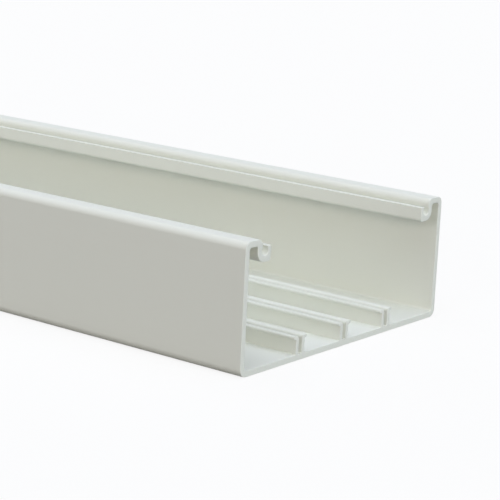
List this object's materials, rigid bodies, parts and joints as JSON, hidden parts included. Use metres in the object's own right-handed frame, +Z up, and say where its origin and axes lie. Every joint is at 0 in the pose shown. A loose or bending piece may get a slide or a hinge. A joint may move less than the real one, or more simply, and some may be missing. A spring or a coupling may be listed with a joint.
{
  "type": "cable trunking base",
  "caption": "Open PVC cable trunking channel with snap-in lid grooves along its turned-in rims and hooked divider rails on its floor, sawn square at both ends.",
  "frame": {"origin": "middle of the underside, half way along the length", "axes": "+X along the length, +Y across the channel, +Z up from the underside to the open top"},
  "size_m": [2, 0.1, 0.039],
  "materials": {
    "pvc": "matt off-white rigid PVC as extruded, duller where sawn"
  },
  "bodies": {
    "root": {"trunking_base": "pvc"}
  },
  "joints": []
}
